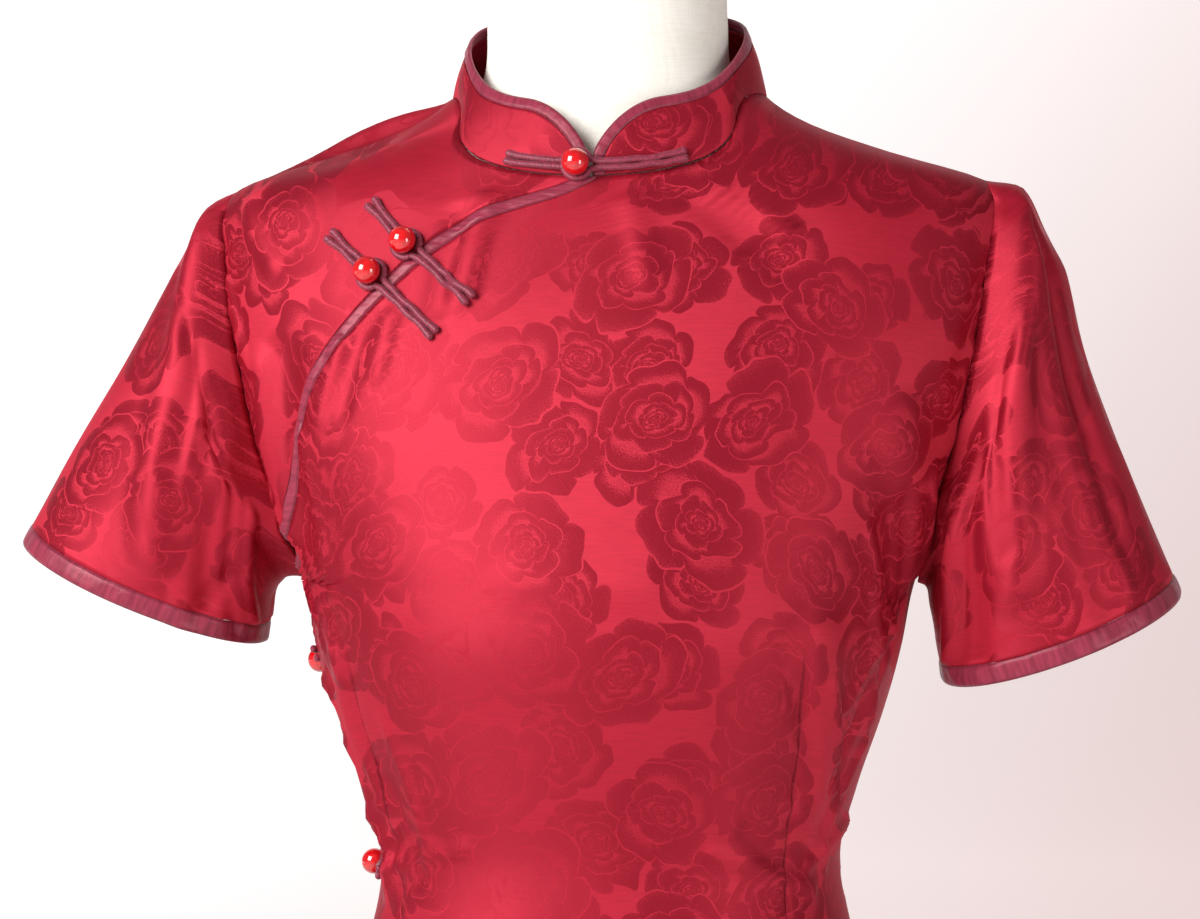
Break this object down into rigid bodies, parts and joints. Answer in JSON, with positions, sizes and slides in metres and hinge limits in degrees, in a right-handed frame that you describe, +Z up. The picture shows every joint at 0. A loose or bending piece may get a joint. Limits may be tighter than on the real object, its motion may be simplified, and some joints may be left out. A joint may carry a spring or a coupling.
{
  "type": "cheongsam on a limbless dress form",
  "caption": "Short-sleeved mandarin-collar cheongsam in figured satin with bound edges, knotted frog closures and side slits, worn by a limbless dress form on a round stand.",
  "frame": {"origin": "on the floor, under the middle of the part's bounding box, on the underside of the stand's base", "axes": "+Z up, -Y the front of the dress, +X the wearer's left"},
  "size_m": [0.5758, 0.38, 1.5105],
  "materials": {
    "satin": "red figured satin: glossy ground with a flower figure in the weave",
    "binding": "burgundy satin bias binding",
    "cord": "burgundy satin cord, two side by side",
    "bead": "polished bright red bead",
    "form_linen": "natural linen cover",
    "stand_steel": "satin grey stand"
  },
  "bodies": {
    "root": {"back_panel": "satin", "chest_frog_bead": "bead", "chest_frog_button_strip": "cord", "chest_frog_loop_strip": "cord", "collar": "satin", "collar_binding": "binding", "collar_frog_bead": "bead", "collar_frog_button_strip": "cord", "collar_frog_loop_strip": "cord", "dress_form": "form_linen", "front_main": "satin", "front_yoke_right": "satin", "hem_binding_back": "binding", "hem_binding_front": "binding", "placket_binding": "binding", "side_frog_bust_bead": "bead", "side_frog_bust_button_strip": "cord", "side_frog_bust_loop_strip": "cord", "side_frog_high_hip_bead": "bead", "side_frog_high_hip_button_strip": "cord", "side_frog_high_hip_loop_strip": "cord", "side_frog_hip_bead": "bead", "side_frog_hip_button_strip": "cord", "side_frog_hip_loop_strip": "cord", "side_frog_waist_bead": "bead", "side_frog_waist_button_strip": "cord", "side_frog_waist_loop_strip": "cord", "sleeve_binding_left": "binding", "sleeve_binding_right": "binding", "sleeve_left": "satin", "sleeve_right": "satin", "stand_base": "stand_steel", "stand_pole": "stand_steel", "yoke_frog_bead": "bead", "yoke_frog_button_strip": "cord", "yoke_frog_loop_strip": "cord"}
  },
  "joints": []
}
